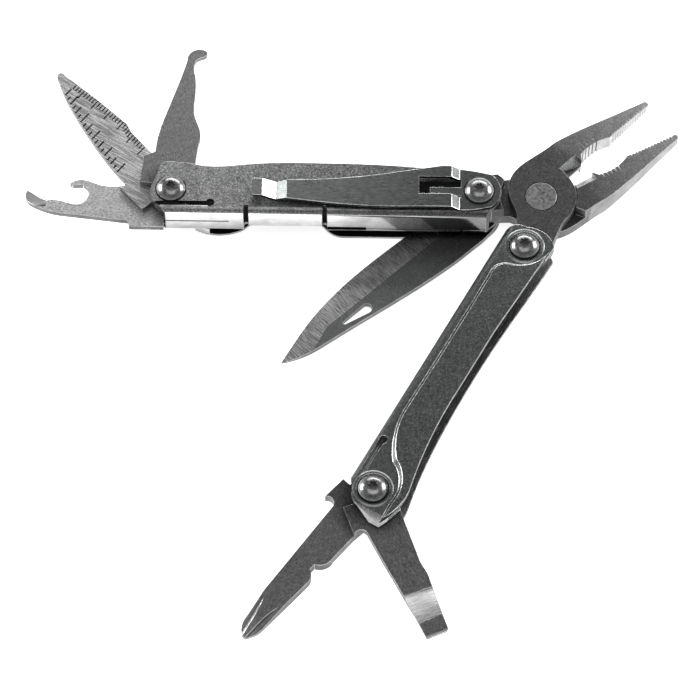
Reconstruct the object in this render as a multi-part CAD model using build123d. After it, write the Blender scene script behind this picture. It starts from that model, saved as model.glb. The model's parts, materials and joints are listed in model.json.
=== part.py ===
from build123d import *
from math import cos, radians, sin
import os

os.makedirs("parts", exist_ok=True)

# Folding pliers-based multi tool, lying flat with the pocket clip up and all its tools fanned out.
# Millimetres, +Z up. The layout is drawn round the plier rivet and moved at the end, so that
# the origin is the bottom centre of the whole tool.

# layout in plan
TAIL = 17.2            # plier rivet to a handle pivot
SPAN = 85.0            # plier pivot to tool pivot, along a handle
TAIL_ANGLE = 208.5     # from a jaw's nose round to its tail
NEAR_JAW_AT = 44.8     # heading of the near jaw's nose, degrees from +X
FAR_JAW_AT = 29.2
UPPER_AT = 179.1       # heading of each handle, from its plier pivot
LOWER_AT = 240.6
KNIFE_AT = 219.7
PACKAGE_OPENER_AT = 82.5
FILE_AT = 132.0
CAN_OPENER_AT = 179.1
PHILLIPS_AT = 227.0
FLAT_DRIVER_AT = 289.5

# levels, bottom and top of each layer
COVER = (0.0, 0.9)
KNIFE = (1.0, 2.8)
UPPER_FAR = (3.3, 4.4)
UPPER_NEAR = (13.0, 14.2)
LOWER_FAR = (3.4, 4.4)
LOWER_NEAR = (12.0, 13.1)
PLATEAU_TOP = 14.2
JAWS = (4.5, 11.9)
LAP = 8.2              # the half-lap joint of the two jaws
PACKAGE_OPENER = (11.1, 12.8)
FILE = (9.1, 10.9)
CAN_OPENER = (6.9, 8.9)
FLAT_DRIVER = (9.6, 11.8)
PHILLIPS = (6.1, 9.3)
CLIP_FOOT = (14.2, 15.2)
CLIP_RISE = 1.7        # how far the clip's arm stands above its foot

# handles
WEB = 7.2              # pivot line to the outside of the folded web
SHEET = 1.2
WEB_FROM = -2.0        # start of the web, from the plier pivot
UPPER_WEB_TO = 86.5
LOWER_WEB_TO = 84.6
FOLD_RADIUS = 2.0

# pivots and fasteners
BARREL_RADIUS = 2.5
BORE_RADIUS = 2.55
SCREW_RADIUS = 1.6
HEAD_RADIUS = 4.0
HEAD_HEIGHT = 2.0
RIVET_RADIUS = 4.0
RIVET_HEAD_RADIUS = 4.45
TANG = 5.8             # radius of every tool's round tang
LOBE = 9.1             # height of the square stop on a tool's tang
STOP = 1.9             # where that stop's working face stands, from the pivot


def polar(length, angle):
    return (length * cos(radians(angle)), length * sin(radians(angle)))


UPPER_PIVOT = polar(TAIL, FAR_JAW_AT - TAIL_ANGLE)
LOWER_PIVOT = polar(TAIL, NEAR_JAW_AT + TAIL_ANGLE)


def along(pivot, length, angle):
    step = polar(length, angle)
    return (pivot[0] + step[0], pivot[1] + step[1])


UPPER_TOOL_PIVOT = along(UPPER_PIVOT, SPAN, UPPER_AT)
LOWER_TOOL_PIVOT = along(LOWER_PIVOT, SPAN, LOWER_AT)


# drawing helpers
def outline(start, *moves):
    """A closed face. A move is a point for a line, (through, end) for an arc, a list for a curve."""
    here = start
    edges = []
    for move in moves:
        if isinstance(move, list):
            edges.append(Spline(here, *move))
            here = move[-1]
        elif isinstance(move[0], tuple):
            edges.append(ThreePointArc(here, move[0], move[1]))
            here = move[1]
        else:
            edges.append(Line(here, move))
            here = move
    if here != start:
        edges.append(Line(here, start))
    return make_face(Wire(edges))


def slab(face, levels):
    return Pos(0, 0, levels[0]) * extrude(face, amount=levels[1] - levels[0], dir=(0, 0, 1))


def block(x, y, z):
    """A box between two values on each axis."""
    size = (x[1] - x[0], y[1] - y[0], z[1] - z[0])
    middle = ((x[0] + x[1]) / 2, (y[0] + y[1]) / 2, (z[0] + z[1]) / 2)
    return Pos(*middle) * Box(*size)


def peg(radius, levels, at=(0, 0)):
    middle = (levels[0] + levels[1]) / 2
    return Pos(at[0], at[1], middle) * Cylinder(radius, levels[1] - levels[0])


def ring(outer, inner, levels, at=(0, 0)):
    return peg(outer, levels, at) - peg(inner, (levels[0] - 1, levels[1] + 1), at)


def prism(points, y):
    """A solid with a side view drawn in X and Z, between two values of Y."""
    face = make_face(Polyline(*[(px, 0, pz) for px, pz in points], close=True))
    return Pos(0, y[0], 0) * extrude(face, amount=y[1] - y[0], dir=(0, 1, 0))


def bevel(points, x):
    """A cutter drawn in Y and Z, between two values of X, for grinding a sloping edge."""
    face = make_face(Polyline(*[(x[0], py, pz) for py, pz in points], close=True))
    return extrude(face, amount=x[1] - x[0], dir=(1, 0, 0))


def place(shape, pivot, heading, mirrored=False):
    """Turn a piece drawn along +X to its heading, on its pivot. Mirrored pieces are flipped in Y."""
    if mirrored:
        shape = mirror(shape, about=Plane.XZ)
    return Location((pivot[0], pivot[1], 0), (0, 0, heading)) * shape


# handles: drawn from the plier pivot along +X, +Y towards the open side of the channel
def channel(wall, near, far, web_to):
    """A folded sheet: near wall, web and far wall, its two folds rounded."""
    body = block((-8, 94), (-WEB, 12), (far[0], near[1]))
    folds = body.edges().filter_by(Axis.X).sort_by(Axis.Y)[:2]
    body = fillet(folds, FOLD_RADIUS)
    hollow = block((-9, 95), (-WEB + SHEET, 13), (far[1], near[0]))
    hollow_folds = hollow.edges().filter_by(Axis.X).sort_by(Axis.Y)[:2]
    body -= fillet(hollow_folds, FOLD_RADIUS - SHEET)
    body -= block((web_to, 95), (-WEB - 1, -WEB + SHEET + 0.3), (far[1], near[0]))
    return body & slab(wall, (far[0], near[1]))


def spring_slots(y, round_end, split):
    """The cuts that free the two back-spring tongues at the tool end of the web."""
    cuts = block((round_end, 95), (y - 0.7, y + 0.7), (0, 20))
    cuts += peg(1.15, (0, 20), (round_end, y + 0.25))
    cuts += block((69, 95), (-WEB - 1, -WEB + SHEET + 1), (split - 0.2, split + 0.2))
    return cuts


def pivot_holes(x_positions):
    return [peg(BORE_RADIUS, (-1, 20), (x, 0)) for x in x_positions]


def upper_wall():
    return outline(
        (WEB_FROM, -WEB),
        (UPPER_WEB_TO, -WEB),
        (88.6, -4.6),
        ((90.4, -2.0), (90.5, 0.4)),
        (88.2, 7.2),
        ((87.3, 8.4), (85.8, 8.7)),
        (79.6, 8.2),
        [(76.4, 7.5), (63.5, 8.2), (44.6, 8.8), (25.7, 8.4), (12.6, 7.4), (-3.6, 5.6)],
        ((-6.2, 0.0), (-3.4, -5.4)),
    )


def thumb_gap():
    """Opening in the web and the far wall, through which the thumb reaches the knife's hole."""
    gap = block((42.5, 64.2), (-WEB - 1, -WEB + SHEET + 0.5), (0, 6.8))
    rim = outline((41.5, -WEB - 1), (65.0, -WEB - 1), (63.0, -5.0), ((53.5, -1.8), (43.5, -5.0)))
    return gap + slab(rim, (0, UPPER_FAR[1] + 0.5))


def web_notch(x):
    cut = block((x - 0.65, x + 0.65), (-WEB - 1, -5.4), (0, 20))
    return cut + peg(0.65, (0, 20), (x, -5.4))


def lock_leaf_cuts():
    """The cuts that free the knife's lock: a leaf of the far wall, its thumb tab a strip of web."""
    cuts = block((WEB_FROM - 1, 31), (-WEB - 1, -WEB + SHEET + 0.5), (5.7, 6.0))
    cuts += block((31, 42.5), (-WEB - 1, -WEB + SHEET + 0.5), (4.9, 6.6))
    cuts += block((4.4, 35), (-3.9, -3.3), (3, 4.9))
    cuts += block((4.4, 5.0), (-WEB - 1, -3.3), (3, 5.7))
    cuts += peg(0.9, (3, 4.9), (35, -3.6))
    return cuts


def upper_handle():
    body = channel(upper_wall(), UPPER_NEAR, UPPER_FAR, UPPER_WEB_TO)
    body -= spring_slots(-4.5, 74.1, 8.9)
    body -= thumb_gap()
    body -= [web_notch(42.5), web_notch(64.2)]
    body -= lock_leaf_cuts()
    body -= pivot_holes((0, SPAN))
    return body


def lower_wall():
    return outline(
        (WEB_FROM, -WEB),
        (LOWER_WEB_TO, -WEB),
        (88.8, -4.4),
        ((90.6, -3.0), (91.4, -1.4)),
        (94.6, 4.8),
        ((94.7, 5.9), (93.8, 6.8)),
        ((88.6, 8.9), (81.2, 9.0)),
        [(68.2, 7.0), (48.7, 5.8), (27.6, 5.8), (4.0, 7.0), (-3.7, 7.3)],
        ((-6.4, 2.5), (-5.6, -2.2)),
        ((-4.6, -5.6), (WEB_FROM, -WEB)),
    )


def plateau_moves(inset):
    """The pressed-out panel's sunk sides, from beside the plier pivot to beside the tool pivot."""
    left = -4.3 + inset
    return [
        ((4.6 + inset, 3.6), (6.8 + inset, -1.0)),
        ((8.4 + inset, -3.4 + inset / 2), (12.0 + inset, left)),
        ((36.0, left + 0.2), (60.0, left)),
        ((68.6, left + 1.5), (75.4 - inset, 0.6 + inset)),
        ((79.0 - inset / 2, 4.6 + inset), (86.4, 6.0 + inset)),
    ]


def plateau_face(inset):
    """The pressed-out panel of the near wall: past the outside of both pivots, down to the end lip."""
    return outline(
        (-1.0 + inset, 6.8),
        *plateau_moves(inset),
        (93.0 - 1.5 * inset, 6.3 + inset / 2),
        ((88.4 - inset, 8.5), (81.0, 8.9)),
        ((68.2, 6.7), (48.7, 5.7)),
        (27.6, 5.7),
        (4.0, 6.8),
        (-1.0 + inset, 6.8),
    )


def lower_handle():
    body = channel(lower_wall(), LOWER_NEAR, LOWER_FAR, LOWER_WEB_TO)
    base = LOWER_NEAR[1]
    foot, crown = plateau_face(0.0), plateau_face(0.8)
    # the end lip slopes away below the screw's boss
    body -= prism([(90.8, base), (96, base), (96, base - 1.0)], (-4, 8))
    body += slab(foot, (LOWER_NEAR[0], base))
    body += loft([Pos(0, 0, base) * foot, Pos(0, 0, PLATEAU_TOP) * crown], ruled=True)
    room = outline((1.0, 12.0), (1.0, 6.6), *plateau_moves(1.2), (86.4, 12.0))
    body -= slab(room, (LOWER_NEAR[0] - 0.5, PLATEAU_TOP - 1.1))
    body -= block((90.2, 96), (-9, 12), (0, LOWER_NEAR[0]))
    body -= spring_slots(-5.0, 70.8, 8.3)
    body -= pivot_holes((0, SPAN))
    return body


def knife_cover():
    """Dished plate outside the knife; its rim stands against the far wall."""
    far = UPPER_FAR[0]
    plan = outline(
        (-4.6, -4.6),
        ((-1.8, -6.7), (1.0, -7.0)),
        (37.5, -7.0),
        [(41.5, -5.4), (44.5, -2.2), (53.0, -0.6), (62.0, -2.6), (65.0, -5.0)],
        ((72.0, -6.8), (78.4, -5.2)),
        ((79.3, -2.0), (77.8, 3.5)),
        ((78.8, 6.6), (76.0, 8.4)),
        [(63.5, 8.2), (44.6, 8.8), (25.7, 8.4), (12.6, 7.4), (-3.6, 5.6)],
        ((-6.2, 0.6), (-4.6, -4.6)),
    )
    dish = slab(plan, (COVER[0], far))
    room = outline(
        (-8, -9),
        (74.4, -9),
        (74.4, 5.4),
        [(63.5, 7.2), (44.6, 7.9), (27.0, 7.5)],
        (21.0, 9.6),
        (-8, 9.6),
    )
    dish -= slab(room, (COVER[1], far + 1))
    foot = outline((75.5, -3.6), (86.5, -5.4), ((90.0, 0), (86.0, 5.6)), (75.5, 7.6))
    plate = dish + slab(foot, (far - 0.9, far))
    plate -= peg(BORE_RADIUS, (-1, 5))
    plate -= peg(3.7, (-1, 0.5))
    plate -= peg(BORE_RADIUS, (-1, 5), (SPAN, 0))
    plate -= peg(5.0, (-1, far - 0.9), (SPAN, 0))
    return plate


def pocket_clip():
    low, high = CLIP_FOOT
    arm = (low + CLIP_RISE, high + CLIP_RISE)
    underside = [
        (-9.0, low),
        (6.2, low),
        (8.4, arm[0]),
        (52.6, arm[0]),
        (56.0, low + 0.1),
        (60.2, low + 2.3),
        (62.8, low + 2.3),
    ]
    top_side = [
        (62.8, high + 2.3),
        (59.8, high + 2.3),
        (56.0, high + 0.3),
        (53.0, arm[1]),
        (7.6, arm[1]),
        (5.4, high),
        (-9.0, high),
    ]
    plan = outline(
        (6.6, 6.9),
        ((3.0, 6.5), (-3.4, 5.2)),
        ((-6.0, -0.3), (-3.2, -5.0)),
        ((1.0, -5.9), (6.0, -6.1)),
        [(12.0, -6.0), (25.5, -6.2), (43.0, -5.1), (54.2, -3.8)],
        (62.0, -3.4),
        ((62.6, -3.2), (62.8, -2.6)),
        (62.8, 1.0),
        ((62.6, 1.6), (62.0, 1.8)),
        (54.0, 1.8),
        [(42.5, 2.2), (33.0, 3.1), (14.5, 6.2), (10.5, 6.9)],
    )
    strip = prism(underside + top_side, (-9, 9)) & slab(plan, (low - 1, low + 6))
    strip -= block((5.0, 16.6), (-2.0, 3.4), (low - 1, low + 6))
    strip += block((4.4, 13.6), (-1.6, 1.0), CLIP_FOOT)
    strip += block((8.0, 13.4), (-2.2, -1.9), arm)
    return strip - peg(BORE_RADIUS, (10, 20))


# knife: drawn along +X, spine on +Y
def knife_blade():
    blade = outline(
        (-3.4, 5.3),
        ((1.5, 6.9), (7.0, 7.4)),
        (14.0, 7.7),
        [(24.0, 7.4), (42.5, 5.9), (55.6, 4.7), (65.2, 3.6), (71.8, 1.2)],
        [(66.4, -0.8), (58.7, -3.4), (44.6, -6.3), (29.8, -7.3), (15.0, -7.5)],
        (13.2, -6.0),
        (9.0, -6.0),
        [(3.0, -6.2), (-3.6, -5.2), (-6.0, -1.0), (-5.6, 3.4), (-3.4, 5.3)],
    )
    solid = slab(blade, KNIFE)
    uncut = slab(outline((0, -12), (11.4, -12), (13.6, 3), (0, 3)), (0, 4))
    for level, way in ((KNIFE[1], 1), (KNIFE[0], -1)):
        slope = [(0, level), (-10, level), (-10, level - way * 1.03)]
        edge_grind = Pos(12, -1.2, 0) * Rot(0, 0, 2.7) * bevel(slope, (-2, 66))
        tip_grind = Pos(55, 0.8, 0) * Rot(0, 0, 23) * bevel(slope, (-4, 26))
        solid -= edge_grind - uncut
        solid -= tip_grind
    hole = outline(
        (43.0, 1.9),
        ((41.6, 3.4), (43.2, 4.8)),
        (50.6, 3.4),
        ((51.1, 2.9), (50.5, 2.4)),
    )
    solid -= slab(hole, (0, 4))
    return solid - peg(BORE_RADIUS, (0, 4))


# jaws: drawn from the rivet along +X towards the nose, back of the jaw on +Y
def jaw_face():
    tail = polar(TAIL, TAIL_ANGLE)
    lap = 9.8
    return outline(
        (lap, 0.05),
        (16.2, 0.05),
        (17.6, 1.7),
        [(20.0, 1.9), (24.0, 1.5), (27.6, 0.05)],
        (43.2, 0.05),
        ((43.7, 0.9), (43.1, 1.7)),
        [(36.0, 3.7), (30.0, 5.5), (22.0, 7.8), (15.0, 9.4)],
        [(8.0, 10.2), (-1.4, 10.2), (-6.0, 6.6), (-7.6, 3.2), (-9.6, -0.4)],
        (tail[0] + 0.9, tail[1] + 5.4),
        ((tail[0] - 5.4, tail[1] - 0.9), (tail[0] + 1.6, tail[1] - 5.2)),
        [(-7.4, -12.2), (-3.6, -10.6), polar(lap, -88)],
        (polar(lap, -44), (lap, 0.05)),
    )


def jaw_groove(x, half_width, depth):
    return slab(outline((x - half_width, 0), (x + half_width, 0), (x, depth)), (0, 20))


def jaw(lap_levels):
    """One jaw: half thickness round the rivet, full thickness at the nose and at the tail's eye."""
    plan = jaw_face()
    tail = polar(TAIL, TAIL_ANGLE)
    solid = slab(plan, lap_levels)
    nose = slab(plan, JAWS) & slab(outline((0, 0), (60, -4), (60, 60), polar(60, 50)), JAWS)
    solid += nose - peg(10.1, (0, 20))
    eye = slab(plan, JAWS) & peg(9.0, JAWS, tail)
    solid += eye - peg(11.3, (0, 20))
    for level, way in ((JAWS[1], 1), (JAWS[0], -1)):
        solid -= prism([(14, level), (46, level), (46, level - way * 2.2)], (-20, 20))
        # the cutter's land falls away from its edge to either side
        solid -= bevel([(-0.1, level), (2.6, level), (-0.1, level - way * 3.3)], (10, 16.2))
    solid -= [jaw_groove(x, 0.45, 2.75) for x in (18.6, 19.9, 21.2, 22.5, 23.8)]
    solid -= [jaw_groove(x, 0.3, 0.5) for x in range(29, 43)]
    solid -= peg(BORE_RADIUS, (0, 20), tail)
    solid -= peg(RIVET_RADIUS + 0.05, (0, 20))
    if lap_levels[1] == JAWS[1]:
        solid -= peg(RIVET_HEAD_RADIUS + 0.15, (JAWS[1] - 0.8, 20))
    else:
        solid -= peg(RIVET_HEAD_RADIUS + 0.15, (0, JAWS[0] + 0.8))
    return solid


def jaw_rivet():
    body = peg(RIVET_RADIUS, JAWS)
    near = peg(RIVET_HEAD_RADIUS, (JAWS[1] - 0.75, JAWS[1]))
    far = peg(RIVET_HEAD_RADIUS, (JAWS[0], JAWS[0] + 0.75))
    near = fillet(near.edges().sort_by(Axis.Z)[-1:], 0.3)
    far = fillet(far.edges().sort_by(Axis.Z)[:1], 0.3)
    return body + near + far


# folding tools: drawn from their pivot along +X, square stop on +Y
def tool(levels, *moves):
    """A flat tool: its round tang, its square stop, then the given way round the working part."""
    stop_foot = (STOP, (TANG**2 - STOP**2) ** 0.5)
    face = outline(stop_foot, (STOP, LOBE), *moves, (2.2, -5.36), ((-TANG, 0.0), stop_foot))
    return slab(face, levels) - peg(BORE_RADIUS, (0, 20))


def package_opener():
    return tool(
        PACKAGE_OPENER,
        (10.4, LOBE),
        ((11.2, 7.6), (12.0, 6.2)),
        [(17.2, 6.2), (23.8, 5.2), (34.0, 3.2), (42.6, 1.8)],
        [(45.0, 1.3), (46.4, -0.6), (45.9, -3.4)],
        [(44.6, -3.2), (43.4, -1.2), (40.9, -0.4), (38.0, -1.1)],
        [(31.0, -2.1), (24.8, -2.9), (20.4, -5.0), (16.1, -5.3)],
        (9.9, -5.3),
    )


def file_ruler():
    return tool(
        FILE,
        (11.2, LOBE),
        ((10.9, 7.8), (12.0, 6.9)),
        [(17.0, 6.7), (32.6, 4.3), (42.4, 1.9), (49.6, -0.9)],
        ((50.7, -2.2), (49.2, -3.1)),
        [(38.0, -4.6), (25.4, -5.7)],
        (22.6, -4.9),
        (14.6, -4.7),
    )


def can_opener():
    body = tool(
        CAN_OPENER,
        (11.6, LOBE),
        (11.8, 7.3),
        (30.0, 5.2),
        ((36.0, 3.7), (39.4, 1.9)),
        [(40.4, 0.4), (40.7, -1.4), (40.2, -2.9)],
        [(38.6, -1.8), (36.0, 0.2), (32.4, 1.0)],
        [(28.6, 1.9), (25.2, 2.1), (23.4, 0.4), (23.2, -2.2), (24.6, -3.9)],
        (27.6, -3.8),
        (28.4, -4.4),
        (26.6, -5.3),
        [(23.0, -5.1), (20.2, -4.0), (15.7, -3.5), (9.0, -4.6)],
    )
    edge = bevel([(3.2, CAN_OPENER[1]), (-4.0, CAN_OPENER[1]), (-4.0, CAN_OPENER[0] - 0.2)], (30, 42))
    uncut = slab(outline((28, -5), (33.4, -5), (34.8, 4), (28, 4)), (0, 20))
    return body - (edge - uncut)


def flat_driver():
    body = tool(
        FLAT_DRIVER,
        (10.8, LOBE),
        ((9.7, 7.2), (11.0, 5.6)),
        [(22.0, 4.2), (33.0, 2.6), (45.0, 1.1)],
        (44.7, -4.4),
        ((44.3, -5.1), (43.4, -5.3)),
        (29.4, -5.4),
        [(26.8, -5.3), (24.8, -4.9), (22.6, -4.8)],
        (9.0, -4.9),
    )
    # hollow-ground tip: a slice of a wide wheel on each side
    for surface, way, depth in ((FLAT_DRIVER[1], 1, 0.9), (FLAT_DRIVER[0], -1, 0.5)):
        wheel = Pos(42.2, 0, surface + way * (60 - depth - 0.06)) * Rot(90, 0, 0) * Cylinder(60, 30)
        body -= wheel & block((25, 50), (-9, 9), (surface - 2, surface + 2))
    return body


def phillips_driver():
    body = tool(
        PHILLIPS,
        (9.1, LOBE),
        ((8.2, 7.2), (10.2, 5.5)),
        (40.6, 2.0),
        (48.5, 0.4),
        ((51.8, -0.8), (53.2, -2.3)),
        (53.4, -3.5),
        ((51.6, -4.6), (48.8, -5.2)),
        (40.8, -5.0),
        (30.2, -4.9),
        ((28.8, -4.4), (27.4, -2.7)),
        (25.6, -2.6),
        ((24.4, -4.2), (20.8, -4.9)),
        (12.5, -4.6),
    )
    middle = (PHILLIPS[0] + PHILLIPS[1]) / 2
    for way in (-1, 1):
        for side in (-1, 1):
            start = Pos(50.0, -2.6 + side * 1.95, middle + way * 2.09)
            flute = Rot(0, 0, -6 - side * 7.7) * Rot(0, 90 + way * 5.5, 0) * Cylinder(1.5, 26)
            body -= start * flute
        face = middle + way * 1.6
        body -= prism([(46, face), (54.5, face), (54.5, middle + way * 0.45)], (-9, 9))
    return body


# fasteners
def screw(base, bottom):
    """Domed head with a six-lobed socket, on a threaded shank."""
    rim, crown = base + 0.5, base + HEAD_HEIGHT
    profile = [
        Line((0, 0, base), (HEAD_RADIUS, 0, base)),
        Line((HEAD_RADIUS, 0, base), (HEAD_RADIUS, 0, rim)),
        ThreePointArc((HEAD_RADIUS, 0, rim), (2.95, 0, base + 1.5), (1.3, 0, crown)),
        Line((1.3, 0, crown), (0, 0, crown)),
        Line((0, 0, crown), (0, 0, base)),
    ]
    head = revolve(make_face(Wire(profile)), axis=Axis.Z)
    socket = peg(0.95, (base + 0.6, base + 3))
    for turn in range(6):
        socket += peg(0.36, (base + 0.6, base + 3), polar(0.98, 60 * turn))
    return head - socket + peg(SCREW_RADIUS, (bottom, base))


def barrel_nut(far, near, head):
    """Sleeve that the pieces turn on, with a flat head on the far side."""
    body = peg(BARREL_RADIUS, (far, near)) + peg(3.6, (far, far + head))
    return body - peg(SCREW_RADIUS, (far + 1.4, near + 1))


def washers(gaps, at):
    """Thin rings filling the gaps of a tool stack, kept as separate solids."""
    return Compound([ring(4.4, BORE_RADIUS, gap, at) for gap in gaps])


def build():
    """Every node, in the layout's frame."""
    upper, lower = (UPPER_PIVOT, UPPER_AT), (LOWER_PIVOT, LOWER_AT)
    upper_tools, lower_tools = UPPER_TOOL_PIVOT, LOWER_TOOL_PIVOT
    clip_top, upper_top, lower_top = CLIP_FOOT[1], UPPER_NEAR[1], LOWER_NEAR[1]
    nodes = {
        "upper_handle": place(upper_handle(), *upper, mirrored=True),
        "lower_handle": place(lower_handle(), *lower),
        "knife_cover": place(knife_cover(), *upper, mirrored=True),
        "pocket_clip": place(pocket_clip(), *upper, mirrored=True),
        "knife_blade": place(knife_blade(), UPPER_PIVOT, KNIFE_AT),
        "knife_washer": place(ring(4.6, BORE_RADIUS, (2.85, UPPER_FAR[0])), *upper),
        "near_jaw": place(jaw((LAP + 0.05, JAWS[1])), (0, 0), NEAR_JAW_AT),
        "far_jaw": place(jaw((JAWS[0], LAP - 0.05)), (0, 0), FAR_JAW_AT, mirrored=True),
        "jaw_rivet": jaw_rivet(),
        "jaw_spacer": place(ring(4.6, BORE_RADIUS, (JAWS[1] + 0.1, UPPER_NEAR[0])), *upper),
        "package_opener": place(package_opener(), upper_tools, PACKAGE_OPENER_AT),
        "file_ruler": place(file_ruler(), upper_tools, FILE_AT),
        "can_opener": place(can_opener(), upper_tools, CAN_OPENER_AT),
        "phillips_driver": place(phillips_driver(), lower_tools, PHILLIPS_AT, mirrored=True),
        "flat_driver": place(flat_driver(), lower_tools, FLAT_DRIVER_AT, mirrored=True),
        "upper_plier_screw": place(screw(clip_top, 4.0), *upper),
        "upper_plier_nut": place(barrel_nut(0.0, clip_top, 0.5), *upper),
        "upper_tool_screw": place(screw(upper_top, 5.0), upper_tools, UPPER_AT),
        "upper_tool_nut": place(barrel_nut(1.7, upper_top, 0.7), upper_tools, UPPER_AT),
        "lower_plier_screw": place(screw(lower_top, 5.5), *lower),
        "lower_plier_nut": place(barrel_nut(2.9, lower_top, 0.5), *lower),
        "lower_tool_screw": place(screw(lower_top, 5.5), lower_tools, LOWER_AT),
        "lower_tool_nut": place(barrel_nut(2.9, lower_top, 0.5), lower_tools, LOWER_AT),
    }
    upper_gaps = ((4.4, 6.8), (8.9, 9.1), (10.9, 11.1), (12.8, 13.0))
    lower_gaps = ((4.4, 6.1), (9.3, 9.6), (11.8, 12.0))
    nodes["upper_tool_washers"] = washers(upper_gaps, upper_tools)
    nodes["lower_tool_washers"] = washers(lower_gaps, lower_tools)
    return nodes


nodes = build()
boxes = [shape.bounding_box() for shape in nodes.values()]
low = [min(tuple(box.min)[axis] for box in boxes) for axis in range(3)]
high = [max(tuple(box.max)[axis] for box in boxes) for axis in range(3)]
centre = ((low[0] + high[0]) / 2, (low[1] + high[1]) / 2, low[2])
for name, shape in nodes.items():
    export_step(Pos(-centre[0], -centre[1], -centre[2]) * shape, f"parts/{name}.step")

print("size", [round(high[axis] - low[axis], 3) for axis in range(3)])
pivots = {
    "rivet": (0, 0),
    "upper_plier": UPPER_PIVOT,
    "lower_plier": LOWER_PIVOT,
    "upper_tool": UPPER_TOOL_PIVOT,
    "lower_tool": LOWER_TOOL_PIVOT,
}
for name, at in pivots.items():
    print("pivot", name, round(at[0] - centre[0], 4), round(at[1] - centre[1], 4))
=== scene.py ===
import json
import math

import bmesh
import bpy
from mathutils import Matrix, Vector


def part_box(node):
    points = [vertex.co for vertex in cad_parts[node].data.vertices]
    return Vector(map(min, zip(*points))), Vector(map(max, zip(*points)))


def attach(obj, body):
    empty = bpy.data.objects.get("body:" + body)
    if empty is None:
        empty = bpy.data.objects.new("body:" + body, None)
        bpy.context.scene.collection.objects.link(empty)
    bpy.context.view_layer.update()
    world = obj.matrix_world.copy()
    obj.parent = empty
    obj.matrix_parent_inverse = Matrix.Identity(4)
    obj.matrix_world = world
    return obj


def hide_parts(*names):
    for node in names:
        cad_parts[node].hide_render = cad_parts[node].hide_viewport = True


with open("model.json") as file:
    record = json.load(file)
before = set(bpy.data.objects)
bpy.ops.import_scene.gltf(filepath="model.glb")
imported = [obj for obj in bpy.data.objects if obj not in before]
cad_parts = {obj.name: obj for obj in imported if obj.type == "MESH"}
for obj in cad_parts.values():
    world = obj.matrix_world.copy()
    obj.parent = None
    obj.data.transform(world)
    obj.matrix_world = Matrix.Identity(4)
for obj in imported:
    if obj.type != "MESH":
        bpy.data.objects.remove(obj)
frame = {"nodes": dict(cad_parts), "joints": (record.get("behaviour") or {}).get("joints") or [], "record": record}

MM = 0.001
INCH = 25.4
NODES = frame["nodes"]
BODY_OF = {node: body for body, names in frame["record"]["behaviour"]["bodies"].items() for node in names}
PIVOTS = {joint["name"]: Vector(joint["pos_m"]) for joint in frame["joints"]}
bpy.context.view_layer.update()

RIVET = PIVOTS["jaw_pivot"]
UPPER_PLIER = PIVOTS["upper_handle_pivot"]
LOWER_PLIER = PIVOTS["lower_handle_pivot"]
UPPER_TOOL = PIVOTS["file_pivot"]
LOWER_TOOL = PIVOTS["phillips_pivot"]

# where each piece's own drawing sits: pivot, heading in degrees, and -1 where it is turned face down
LAYOUT = {
    "upper_handle": (UPPER_PLIER, 179.1, -1),
    "knife_cover": (UPPER_PLIER, 179.1, -1),
    "pocket_clip": (UPPER_PLIER, 179.1, -1),
    "knife_blade": (UPPER_PLIER, 219.7, 1),
    "lower_handle": (LOWER_PLIER, 240.6, 1),
    "near_jaw": (RIVET, 44.8, 1),
    "far_jaw": (RIVET, 29.2, -1),
    "package_opener": (UPPER_TOOL, 82.5, 1),
    "file_ruler": (UPPER_TOOL, 132.0, 1),
    "can_opener": (UPPER_TOOL, 179.1, 1),
    "phillips_driver": (LOWER_TOOL, 227.0, -1),
    "flat_driver": (LOWER_TOOL, 289.5, -1),
}
HEADING = {node: heading for node, (_, heading, _) in LAYOUT.items()}

# headings, in degrees, of the grinding marks on these faces
FILE_STROKES = 148
KNIFE_STROKES = 222
JAW_STROKES = 37
OPENER_STROKES = 100

# the places that a piece's looks take, in order, and that its sort function answers with
MAIN, BROKEN_EDGE, SECOND, WALL, SLOPE, RIM = range(6)

# how a CAD mesh is cleaned before its edges are broken: weld and sliver in millimetres, angle in degrees
WELD = 0.003
SLIVER = 0.03
COPLANAR = 0.4

SCREW_HEAD = 2.0  # height of a screw's head, in millimetres
TICK_LEAN = 0.16  # how far a tick leans along the file, for each unit of its length


def to_local(node, vector, is_point=True):
    """A row-frame vector in the piece's own drawing, in millimetres: +X along it, +Z up."""
    pivot, heading, side = LAYOUT[node]
    v = Vector(vector)
    if is_point:
        v = v - Vector((pivot.x, pivot.y, 0.0))
    v = Matrix.Rotation(math.radians(-heading), 3, "Z") @ v
    v.y *= side
    return v / MM if is_point else v


def to_row(node, x, y, z):
    """A point of the piece's own drawing, in millimetres, in the row frame."""
    pivot, heading, side = LAYOUT[node]
    v = Matrix.Rotation(math.radians(heading), 3, "Z") @ Vector((x, y * side, 0.0)) * MM
    return Vector((pivot.x + v.x, pivot.y + v.y, z * MM))


# materials -----------------------------------------------------------------
def rgba(tone):
    return (*tone, 1.0) if isinstance(tone, tuple) else (tone, tone, tone, 1.0)


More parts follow.
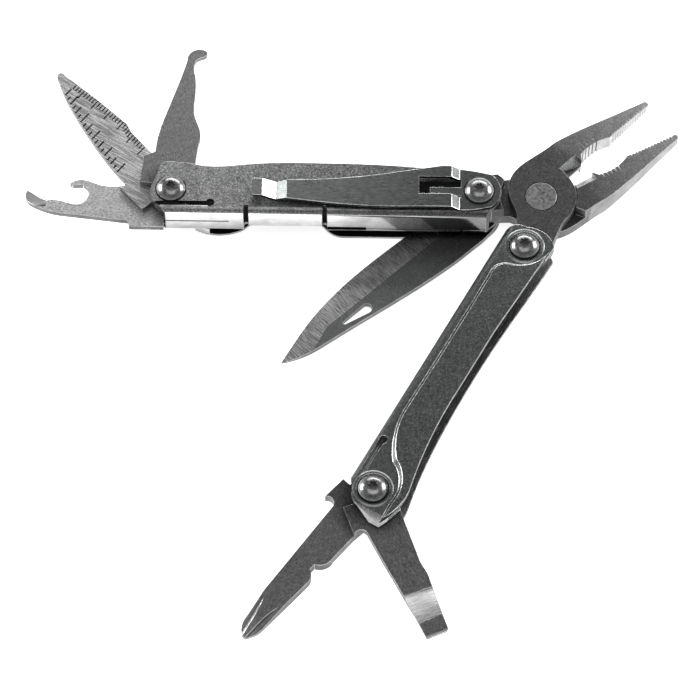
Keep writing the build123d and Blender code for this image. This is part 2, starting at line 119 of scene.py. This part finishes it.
class Graph:
    """A small helper that builds one material's node tree."""

    def __init__(self, name):
        self.material = bpy.data.materials.new(name)
        self.material.use_nodes = True
        self.tree = self.material.node_tree
        self.tree.nodes.clear()
        self.out = self.tree.nodes.new("ShaderNodeOutputMaterial")
        self.shader = self.tree.nodes.new("ShaderNodeBsdfPrincipled")
        self.link(self.shader, 0, self.out, 0)
        self.coords = self.tree.nodes.new("ShaderNodeTexCoord")

    def node(self, kind, **values):
        n = self.tree.nodes.new("ShaderNode" + kind)
        for key, value in values.items():
            if hasattr(n, key):
                setattr(n, key, value)
            else:
                n.inputs[key.replace("_", " ")].default_value = value
        return n

    def link(self, source, out, target, into):
        self.tree.links.new(source.outputs[out], target.inputs[into])

    def grain(self, scale, heading=0.0, detail=3.0):
        """Noise with a different scale along and across a heading."""
        mapping = self.node("Mapping")
        turn = self.node("Mapping")
        turn.inputs["Rotation"].default_value = (0, 0, math.radians(-heading))
        mapping.inputs["Scale"].default_value = scale
        self.link(self.coords, "Object", turn, "Vector")
        self.link(turn, 0, mapping, "Vector")
        noise = self.node("TexNoise", Scale=1.0, Detail=detail, Roughness=0.6)
        self.link(mapping, 0, noise, "Vector")
        return noise

    def ramp(self, source, low, high, start=0.3, end=0.7, out="Fac"):
        r = self.node("ValToRGB")
        r.color_ramp.elements[0].position = start
        r.color_ramp.elements[1].position = end
        r.color_ramp.elements[0].color = rgba(low)
        r.color_ramp.elements[1].color = rgba(high)
        self.link(source, out, r, 0)
        return r

    def mix(self, kind, factor, a, b):
        m = self.node("MixRGB")
        m.blend_type = kind
        m.inputs[0].default_value = factor
        self.link(a, 0, m, 1)
        self.link(b, 0, m, 2)
        return m

    def bump(self, height, strength, distance, under=None, out=0):
        b = self.node("Bump", Strength=strength, Distance=distance)
        self.link(height, out, b, "Height")
        if under:
            self.link(under, 0, b, "Normal")
        return b


def steel(
    name, dark, light, rough, fine, coarse=150, heading=0.0, bump=0.25, specks=None, shade=None, fall=None
):
    """Bare steel: a fine grain for its finish, a coarse one for stains and handling, wear in its gloss.

    rough is the range of roughness. fine and coarse are the two grains' scales, in marks per metre.
    specks is (cells per metre, strength) of a blasted or pitted surface. shade is (pivot, near, far,
    depth): the steel darkens towards a pivot: painted shade on the handles, the blade and the folding tools,
    and on the jaws simply darker towards the rivet. fall is (low, high, tone): a painted shade, darker from one
    height down to another.
    """
    g = Graph(name)
    finish = g.grain(fine, heading)
    stains = g.grain((coarse, coarse, coarse), heading, detail=4.0)
    tone = g.ramp(finish, dark, light, 0.36, 0.66)
    colour = g.mix("MULTIPLY", 1.0, tone, g.ramp(stains, 0.74, 1.1, 0.32, 0.66))
    relief = g.bump(finish, bump, 0.00003)
    if specks:
        cells = g.node("TexVoronoi", Scale=specks[0])
        g.link(g.coords, "Object", cells, "Vector")
        colour = g.mix("MULTIPLY", specks[1], colour, g.ramp(cells, 1.75, 0.8, 0.12, 0.5, out="Distance"))
        relief = g.bump(cells, 0.5, 0.00002, under=relief)
    if shade:
        pivot, near, far, depth = shade
        reach = g.node("VectorMath", operation="DISTANCE")
        g.link(g.coords, "Object", reach, 0)
        reach.inputs[1].default_value = pivot
        fade = g.node("MapRange")
        fade.inputs["From Min"].default_value = near * MM
        fade.inputs["From Max"].default_value = far * MM
        g.link(reach, "Value", fade, 0)
        colour = g.mix("MULTIPLY", 1.0, colour, g.ramp(fade, depth, 1.0, 0.0, 1.0, out=0))
    if fall:
        low, high, tone = fall
        split = g.node("SeparateXYZ")
        g.link(g.coords, "Object", split, 0)
        rise = g.node("MapRange")
        rise.inputs["From Min"].default_value = low * MM
        rise.inputs["From Max"].default_value = high * MM
        g.link(split, "Z", rise, 0)
        colour = g.mix("MULTIPLY", 1.0, colour, g.ramp(rise, tone, 1.0, 0.0, 1.0, out=0))
    g.link(colour, 0, g.shader, "Base Color")
    shine = g.ramp(finish, rough[0], rough[1], 0.3, 0.7)
    gloss = g.mix("MULTIPLY", 1.0, shine, g.ramp(stains, 1.1, 0.8, 0.35, 0.7))
    g.link(gloss, 0, g.shader, "Roughness")
    g.link(relief, 0, g.shader, "Normal")
    g.shader.inputs["Metallic"].default_value = 1.0
    return g.material


def grey(v, green=0.0):
    return (v * (1 - green), v, v * (1 - green * 0.6))


def brushed(along, across):
    """Grain scales, in marks per metre, of steel brushed along a heading."""
    return (along, across, 2500)


BLAST = (2300, 2300, 2300)
BLASTED = (1700, 0.75)

# broken edges, lighter than the faces beside them: partly polished by wear, partly a painted highlight
EDGE = steel("worn_and_highlit_edge", grey(0.5), grey(0.8), (0.2, 0.34), (900, 900, 900), bump=0.1)
DULL_EDGE = steel("dull_edge", grey(0.3), grey(0.48), (0.25, 0.36), (900, 900, 900), bump=0.1)
CUT = steel("cut_side", grey(0.1), grey(0.22), (0.38, 0.5), (900, 900, 4000), bump=0.3)
# painted shade: near black for the walls inside channels, slots and notches, and for the clip's long sides
SHADED_WALLS = steel("painted_shade_walls", grey(0.015), grey(0.03), (0.5, 0.6), BLAST)


def darkened(pivot, height, near, far, depth):
    """A shade for steel(): round a pivot at a height, from near to far, in millimetres."""
    return (Vector((pivot.x, pivot.y, height * MM)), near, far, depth)


def make_looks():
    # painted shade: the tools darken near their pivots where the handles and the lower handle's lip shade them,
    # and the blade darkens under the upper handle
    upper_tool_shade = darkened(UPPER_TOOL, 11, 5.0, 10.0, 0.35)
    lower_tool_shade = darkened(LOWER_TOOL, 10, 7.0, 14.0, 0.3)
    knife_shade = darkened(UPPER_PLIER, 2, 8.0, 24.0, 0.35)
    # painted shade: the upper handle and its clip darken towards the upper plier pivot, where the light falls off
    # along the handle
    hinge_end = darkened(UPPER_PLIER, 14, 8.0, 75.0, 0.4)
    # the jaws darken towards the rivet
    rivet_end = darkened(RIVET, 12, 12.0, 42.0, 0.42)
    # painted shade: the web darkens towards the upper plier pivot
    web_end = darkened(UPPER_PLIER, 8, 12.0, 50.0, 0.35)
    looks = {}

    def add(key, dark, light, *values, green=0.0, **more):
        looks[key] = steel(key + "_steel", grey(dark, green), grey(light, green), *values, **more)

    blasted = dict(bump=0.6, specks=BLASTED)
    pitted = dict(bump=0.25, specks=(1500, 0.35))
    upper, lower = HEADING["upper_handle"], HEADING["lower_handle"]
    # painted shade: the web and the knife cover's rim darken towards their bottom edges
    web_fall, cover_fall = (4.6, 12.0, 0.4), (0.2, 2.6, 0.4)
    add("upper_handle", 0.2, 0.46, (0.3, 0.48), BLAST, green=0.01, shade=hinge_end, **blasted)
    add("lower_handle", 0.07, 0.15, (0.32, 0.48), BLAST, green=0.05, bump=0.5, specks=(1700, 0.5))
    # painted highlight: the raised panel's sides are lighter than the flats around them
    add("lower_ramp", 0.16, 0.26, (0.22, 0.34), BLAST, green=0.05, bump=0.2)
    # painted light: the far wall's inside and the lip's slope are lighter than the rest of the lower handle
    add("painted_light_rim", 0.34, 0.52, (0.2, 0.32), brushed(200, 2600), heading=lower, bump=0.2)
    satin = brushed(250, 4200)
    add("web", 0.8, 0.95, (0.1, 0.2), satin, heading=upper, bump=0.1, shade=web_end, fall=web_fall)
    add("lower_web", 0.3, 0.5, (0.2, 0.35), satin, heading=lower, bump=0.15)
    # painted shade: the knife cover's faces are near black, where the upper handle's web shades them
    add("cover", 0.04, 0.08, (0.35, 0.5), BLAST)
    add("cover_side", 0.6, 0.8, (0.16, 0.26), satin, heading=upper, bump=0.1, fall=cover_fall)
    clip_grain = brushed(700, 4800)
    add("clip", 0.26, 0.4, (0.26, 0.38), clip_grain, heading=upper, bump=0.2, green=0.05, shade=hinge_end)
    add("knife_flat", 0.13, 0.23, (0.3, 0.42), (2600, 2600, 2600), green=0.03, shade=knife_shade)
    across = brushed(6500, 160)
    add("knife_grind", 0.26, 0.66, (0.2, 0.34), across, heading=KNIFE_STROKES, bump=0.3, shade=knife_shade)
    add("jaw", 0.17, 0.29, (0.3, 0.44), BLAST, bump=0.4, specks=(1300, 0.3), shade=rivet_end)
    add("jaw_side", 0.2, 0.34, (0.24, 0.38), brushed(300, 3000), heading=JAW_STROKES, bump=0.3)
    add("opener_grind", 0.09, 0.14, (0.3, 0.4), brushed(3000, 900), heading=OPENER_STROKES, bump=0.3)
    add("jaw_ground", 0.3, 0.6, (0.24, 0.38), brushed(3000, 500), heading=JAW_STROKES, bump=0.4)
    file_grain = brushed(170, 2600)
    tools = (
        ("package_opener", 0.2, 0.34, (0.28, 0.42), brushed(900, 5200), upper_tool_shade, pitted),
        ("file_ruler", 0.62, 1.0, (0.2, 0.34), file_grain, upper_tool_shade, dict(bump=0.5)),
        ("can_opener", 0.62, 0.92, (0.26, 0.38), brushed(1400, 4000), upper_tool_shade, pitted),
        ("phillips_driver", 0.13, 0.23, (0.28, 0.42), brushed(1400, 4400), lower_tool_shade, pitted),
        ("flat_driver", 0.12, 0.21, (0.28, 0.42), brushed(1400, 4400), lower_tool_shade, pitted),
    )
    for key, dark, light, rough, grain, painted_shade, more in tools:
        heading = FILE_STROKES if key == "file_ruler" else HEADING[key]
        add(key, dark, light, rough, grain, heading=heading, shade=painted_shade, **more)
    flat = HEADING["flat_driver"]
    add("ground_tip", 0.5, 0.8, (0.18, 0.3), brushed(4500, 300), heading=flat, bump=0.2)
    add("fastener", 0.2, 0.32, (0.2, 0.3), (1400, 1400, 1400), coarse=400, bump=0.08)
    add("rivet", 0.2, 0.34, (0.28, 0.42), (1800, 1800, 1800), bump=0.3, specks=(1400, 0.2))
    add("washer", 0.2, 0.3, (0.3, 0.4), (2500, 2500, 2500), bump=0.2)
    # near black: the file's etched graduations, and painted shade in the seams round screws, the rivet's ring and
    # under the clip
    add("etch_and_shade", 0.012, 0.03, (0.6, 0.7), (2500, 2500, 2500), bump=0.2)
    return looks


LOOKS = make_looks()


# pieces --------------------------------------------------------------------
def rebuild(node, looks, width, sort=None, angle=30.0, crease=44.0):
    """The CAD piece with its sharp edges broken; sort picks each face's look from its place and normal."""
    bm = bmesh.new()
    bm.from_mesh(NODES[node].data)
    bmesh.ops.remove_doubles(bm, verts=bm.verts, dist=WELD * MM)
    bmesh.ops.dissolve_limit(bm, angle_limit=math.radians(COPLANAR), verts=bm.verts, edges=bm.edges)
    bmesh.ops.dissolve_degenerate(bm, edges=bm.edges, dist=SLIVER * MM)
    bm.normal_update()
    for face in bm.faces:
        face.smooth = True
        face.material_index = MAIN
        if sort:
            place = to_local(node, face.calc_center_median())
            face.material_index = sort(place, to_local(node, face.normal, is_point=False))
    sharp = [e for e in bm.edges if e.is_manifold and e.calc_face_angle() > math.radians(angle)]
    bmesh.ops.bevel(
        bm,
        geom=sharp,
        offset=width * MM,
        offset_type="OFFSET",
        segments=2,
        profile=0.6,
        affect="EDGES",
        clamp_overlap=False,
        material=BROKEN_EDGE,
    )
    for face in bm.faces:
        face.smooth = True
    mesh = bpy.data.meshes.new("shape_" + node)
    bm.to_mesh(mesh)
    bm.free()
    for layer in ("custom_normal", "sharp_edge", "sharp_face"):
        if layer in mesh.attributes:
            mesh.attributes.remove(mesh.attributes[layer])
    mesh.set_sharp_from_angle(angle=math.radians(crease))
    for look in looks:
        mesh.materials.append(look)
    piece = bpy.data.objects.new("piece_" + node, mesh)
    bpy.context.scene.collection.objects.link(piece)
    normals = piece.modifiers.new("normals", "WEIGHTED_NORMAL")
    normals.keep_sharp = True
    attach(piece, BODY_OF[node])
    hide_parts(node)
    return piece


def in_opening(place, normal):
    """Whether a face is a wall of a slot in the upper handle's near wall, inside its outline."""
    return abs(normal.z) < 0.5 and place.z > 11.5 and -5.9 < place.y < 4.5 and 3 < place.x < 87


def upper_sort(place, normal):
    """SECOND is the outside of the web, WALL the inside of the channel and of its openings, near black as painted
    shade.
    """
    if normal.y < -0.8 and place.y < -7.0:
        return SECOND
    fold_underside = normal.z < -0.1 and place.y < -5.0 and place.z < 6.0
    near_wall_inside = normal.z < -0.8 and place.z > 12
    far_wall_inside = normal.z > 0.8 and place.z < 5
    web_inside = normal.y > 0.8 and place.y < -5
    hidden = fold_underside or near_wall_inside or far_wall_inside or web_inside
    return WALL if hidden or in_opening(place, normal) else MAIN


def lower_sort(place, normal):
    """SECOND is the web and the near wall's inside, SLOPE the raised panel's sides, lighter as a painted
    highlight.

    RIM is the inside of the far wall and the slope of the lip at the tool end, both painted lighter than the
    rest of the handle. The near wall's inside takes the web's lighter look, painted light for the far wall to
    reflect.
    """
    web_outside = normal.y < -0.8 and place.y < -7.0
    near_wall_inside = normal.z < -0.8 and place.z > 11.5
    if web_outside or near_wall_inside:
        return SECOND
    if normal.y > 0.8 and place.y < -5:
        return WALL
    if 0.9 < normal.z < 0.995 and place.x > 89:
        return RIM
    if 0.2 < normal.z < 0.995 and place.z > 12.2 and place.y > -5.0:
        return SLOPE
    if normal.z > 0.8 and place.z < 5:
        return RIM
    in_slot = abs(normal.z) < 0.5 and place.x > 68 and -5.9 < place.y < -4.1
    return WALL if in_slot else MAIN


def cover_sort(place, normal):
    return SECOND if abs(normal.z) < 0.5 else MAIN


def knife_sort(place, normal):
    """SECOND is the ground bevel, WALL the spine and the sides of the cut-outs."""
    if abs(normal.z) < 0.5:
        return WALL
    return SECOND if abs(normal.z) < 0.999 else MAIN


def jaw_sort(place, normal):
    """SECOND is the gripping side beyond the rivet, SLOPE the outer side, WALL the sides behind the rivet."""
    if abs(normal.z) > 0.97:
        return MAIN
    if place.x > 9.5 and normal.y < 0:
        return SECOND
    return SLOPE if place.x > 9.5 else WALL


def tool_sort(place, normal):
    """SECOND is a ground face near the tip, WALL the sides."""
    if abs(normal.z) < 0.6:
        return WALL
    return SECOND if place.x > 30 and abs(normal.z) < 0.9995 else MAIN


def clip_sort(place, normal):
    """SECOND is the long sides, near black as painted shade; BROKEN_EDGE the bend before the clip's flat end,
    bright as a painted highlight.
    """
    if abs(normal.z) < 0.3 and abs(normal.y) > 0.5:
        return SECOND
    return BROKEN_EDGE if place.x > 56 and 0.3 < normal.z < 0.99 else MAIN


GROUND = {"flat_driver": "ground_tip", "can_opener": "opener_grind"}
upper_looks = [LOOKS["upper_handle"], DULL_EDGE, LOOKS["web"], SHADED_WALLS]
lower_looks = [LOOKS["lower_handle"], EDGE, LOOKS["lower_web"], SHADED_WALLS, LOOKS["lower_ramp"], LOOKS["painted_light_rim"]]
rebuild("upper_handle", upper_looks, 0.14, upper_sort)
rebuild("lower_handle", lower_looks, 0.14, lower_sort)
rebuild("knife_cover", [LOOKS["cover"], DULL_EDGE, LOOKS["cover_side"]], 0.12, cover_sort)
rebuild("pocket_clip", [LOOKS["clip"], EDGE, SHADED_WALLS], 0.12, clip_sort, angle=18, crease=22)
rebuild("knife_blade", [LOOKS["knife_flat"], EDGE, LOOKS["knife_grind"], CUT], 0.06, knife_sort, angle=35)
for jaw_node in ("near_jaw", "far_jaw"):
    rebuild(jaw_node, [LOOKS["jaw"], DULL_EDGE, LOOKS["jaw_ground"], CUT, LOOKS["jaw_side"]], 0.12, jaw_sort)
for tool_node in ("package_opener", "file_ruler", "can_opener", "phillips_driver", "flat_driver"):
    ground = LOOKS[GROUND.get(tool_node, tool_node)]
    rebuild(tool_node, [LOOKS[tool_node], EDGE, ground, CUT], 0.1, tool_sort)
for name, node in NODES.items():
    if name.endswith(("_screw", "_nut", "washers", "_washer", "spacer", "rivet")):
        look = "fastener" if name.endswith(("_screw", "_nut")) else "washer"
        node.data.materials[0] = LOOKS["rivet" if name == "jaw_rivet" else look]


def add_piece(name, mesh, looks, body):
    for look in looks:
        mesh.materials.append(look)
    piece = bpy.data.objects.new(name, mesh)
    bpy.context.scene.collection.objects.link(piece)
    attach(piece, body)
    return piece


def turned_ring(name, pivot, base, profile, looks, body, steps=96):
    """A ring round a pivot: profile is (radius, height above base) in millimetres, from inside to outside."""
    bm = bmesh.new()
    loops = []
    for radius, height in profile:
        loop = []
        for step in range(steps):
            turn = 2 * math.pi * step / steps
            x = pivot.x + radius * MM * math.cos(turn)
            y = pivot.y + radius * MM * math.sin(turn)
            loop.append(bm.verts.new((x, y, (base + height) * MM)))
        loops.append(loop)
    for number, (inner, outer) in enumerate(zip(loops, loops[1:] + loops[:1])):
        for step in range(steps):
            after = (step + 1) % steps
            face = bm.faces.new((inner[step], outer[step], outer[after], inner[after]))
            face.smooth = True
            face.material_index = min(number, len(looks) - 1) if number < len(profile) - 1 else 0
    bmesh.ops.recalc_face_normals(bm, faces=bm.faces)
    mesh = bpy.data.meshes.new(name)
    bm.to_mesh(mesh)
    bm.free()
    mesh.set_sharp_from_angle(angle=math.radians(35))
    return add_piece(name, mesh, looks, body)


def screw_seat(name, screw, pivot, body, boss):
    """The seam round a screw head, a dark ring of painted shade, and on the lower handle the pressed rim outside
    it.
    """
    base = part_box(screw)[1].z / MM - SCREW_HEAD
    profile = [(3.9, 0.0), (4.02, 0.03), (4.3, 0.03), (4.32, 0.0)]
    looks = [LOOKS["etch_and_shade"]]
    if boss:
        profile = [(3.9, 0.0), (4.02, 0.03), (4.4, 0.03), (4.6, 0.22), (5.0, 0.22), (5.5, 0.0)]
        looks = [LOOKS["etch_and_shade"], LOOKS["etch_and_shade"], EDGE, LOOKS["lower_handle"], LOOKS["lower_ramp"]]
    turned_ring(name, pivot, base, profile, looks, body)


screw_seat("upper_plier_seat", "upper_plier_screw", UPPER_PLIER, "upper_handle", False)
screw_seat("upper_tool_seat", "upper_tool_screw", UPPER_TOOL, "upper_handle", False)
screw_seat("lower_plier_seat", "lower_plier_screw", LOWER_PLIER, "lower_handle", True)
screw_seat("lower_tool_seat", "lower_tool_screw", LOWER_TOOL, "lower_handle", True)


rivet_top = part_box("jaw_rivet")[1].z / MM
# painted shade: a thin dark ring round the rivet's head, where its groove lies
groove = [(4.38, 0.0), (4.42, 0.02), (4.64, 0.02), (4.68, 0.0)]
turned_ring("rivet_groove", RIVET, rivet_top, groove, [LOOKS["etch_and_shade"]], BODY_OF["jaw_rivet"])


def curve_at(points, x):
    """Height of a line through points, at x."""
    for (x0, y0), (x1, y1) in zip(points, points[1:]):
        if x0 <= x <= x1:
            return y0 + (y1 - y0) * (x - x0) / (x1 - x0)
    return points[-1][1]


def flat_marks(name, node, outlines, look):
    """Thin filled shapes, drawn in a piece's own drawing, lying on its top face."""
    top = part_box(node)[1].z / MM
    bm = bmesh.new()
    for corners in outlines:
        low = [bm.verts.new(to_row(node, x, y, top - 0.02)) for x, y in corners]
        high = [bm.verts.new(to_row(node, x, y, top + 0.012)) for x, y in corners]
        bm.faces.new(high)
        bm.faces.new(low[::-1])
        for side in range(len(corners)):
            after = (side + 1) % len(corners)
            bm.faces.new((low[side], low[after], high[after], high[side]))
    bmesh.ops.recalc_face_normals(bm, faces=bm.faces)
    mesh = bpy.data.meshes.new(name)
    bm.to_mesh(mesh)
    bm.free()
    add_piece(name, mesh, [look], BODY_OF[node])


def tick(x, y, length, width):
    """A leaning mark: x is its middle on the edge, and length runs in from there."""
    lean = TICK_LEAN * length
    return [
        (x - width / 2, y),
        (x + width / 2, y),
        (x + width / 2 - lean, y + length),
        (x - width / 2 - lean, y + length),
    ]


def ruler_ticks():
    """Etched graduations along both edges of the file: sixteenths of an inch, and millimetres."""
    inch_edge = [(12.0, 6.9), (17.0, 6.7), (25.0, 5.6), (32.6, 4.3), (42.4, 1.9), (49.6, -0.9)]
    metric_edge = [(14.6, -4.7), (22.6, -4.9), (25.4, -5.7), (38.0, -4.6), (49.2, -3.1)]
    inch_start, inch_count, inch_width = 15.5, 19, 0.46
    metric_start, metric_count, metric_width = 16.5, 29, 0.38
    inset = 0.25
    marks = []
    for count in range(inch_count):
        x = inch_start + count * INCH / 16
        length = 3.5 if count % 4 == 0 else 2.6 if count % 2 == 0 else 1.3
        marks.append(tick(x, curve_at(inch_edge, x) - inset, -length, inch_width))
    for count in range(metric_count):
        x = metric_start + count
        length = 3.1 if count % 5 == 0 else 1.7
        marks.append(tick(x, curve_at(metric_edge, x) + inset, length, metric_width))
    flat_marks("ruler_ticks", "file_ruler", marks, LOOKS["etch_and_shade"])


ruler_ticks()
# painted shadow: a dark sheet on the upper handle under the clip's tongue
under_tongue = [(5.2, -1.9), (16.4, -1.9), (16.4, 3.3), (5.2, 3.3)]
flat_marks("clip_painted_shadow", "upper_handle", [under_tongue], LOOKS["etch_and_shade"])


# floor, light and camera ---------------------------------------------------
def make_floor():
    mesh = bpy.data.meshes.new("floor")
    half, drop = 3.0, 0.0002
    corners = [(-half, -half, 0), (half, -half, 0), (half, half, 0), (-half, half, 0)]
    mesh.from_pydata(corners, [], [(0, 1, 2, 3)])
    floor = bpy.data.objects.new("floor", mesh)
    floor.location.z = -drop
    bpy.context.scene.collection.objects.link(floor)
    g = Graph("pale_floor")
    g.shader.inputs["Base Color"].default_value = (0.9, 0.9, 0.9, 1)
    g.shader.inputs["Roughness"].default_value = 0.8
    g.shader.inputs["Emission Color"].default_value = (1, 1, 1, 1)
    g.shader.inputs["Emission Strength"].default_value = 0.8
    mesh.materials.append(g.material)


def area_light(name, place, size, power):
    """A rectangular light at a place in metres, aimed at the origin."""
    data = bpy.data.lights.new(name, "AREA")
    data.shape = "RECTANGLE"
    data.size, data.size_y = size
    data.energy = power
    light = bpy.data.objects.new(name, data)
    light.location = place
    light.rotation_euler = (Vector() - Vector(place)).to_track_quat("-Z", "Y").to_euler()
    bpy.context.scene.collection.objects.link(light)


def make_world():
    world = bpy.data.worlds.new("studio")
    bpy.context.scene.world = world
    world.use_nodes = True
    tree = world.node_tree
    tree.nodes.clear()
    out = tree.nodes.new("ShaderNodeOutputWorld")
    back = tree.nodes.new("ShaderNodeBackground")
    coords = tree.nodes.new("ShaderNodeTexCoord")
    split = tree.nodes.new("ShaderNodeSeparateXYZ")
    ramp = tree.nodes.new("ShaderNodeValToRGB")
    ramp.color_ramp.elements[0].position = 0.05
    ramp.color_ramp.elements[0].color = (0.75, 0.76, 0.77, 1)
    ramp.color_ramp.elements[1].position = 0.6
    ramp.color_ramp.elements[1].color = (0.27, 0.27, 0.275, 1)
    tree.links.new(coords.outputs["Generated"], split.inputs[0])
    tree.links.new(split.outputs["Z"], ramp.inputs[0])
    tree.links.new(ramp.outputs[0], back.inputs[0])
    back.inputs[1].default_value = 1.0
    tree.links.new(back.outputs[0], out.inputs[0])


def make_camera():
    """A long lens, looking along +Y and down at the tool."""
    centre = RIVET + Vector((-52.8, -41.8, 0)) * MM
    centre.z = 0.0
    lift = math.radians(62)
    distance = 1.2
    data = bpy.data.cameras.new("camera")
    data.sensor_width = 36
    data.lens = 225.2
    data.clip_start = 0.05
    camera = bpy.data.objects.new("camera", data)
    camera.location = centre + distance * Vector((0, -math.cos(lift), math.sin(lift)))
    camera.rotation_euler = (centre - camera.location).to_track_quat("-Z", "Y").to_euler()
    bpy.context.scene.collection.objects.link(camera)
    bpy.context.scene.camera = camera


make_floor()
make_world()
area_light("left_box", (-0.85, 0.35, 0.42), (0.5, 0.4), 8.0)
area_light("right_box", (0.85, 0.4, 0.5), (0.5, 0.4), 8.0)
area_light("top_box", (0.0, -0.12, 1.2), (0.9, 0.7), 2.4)
area_light("back_box", (0.1, 0.9, 0.6), (0.9, 0.25), 5.0)
make_camera()
bpy.context.scene.view_settings.view_transform = "Standard"
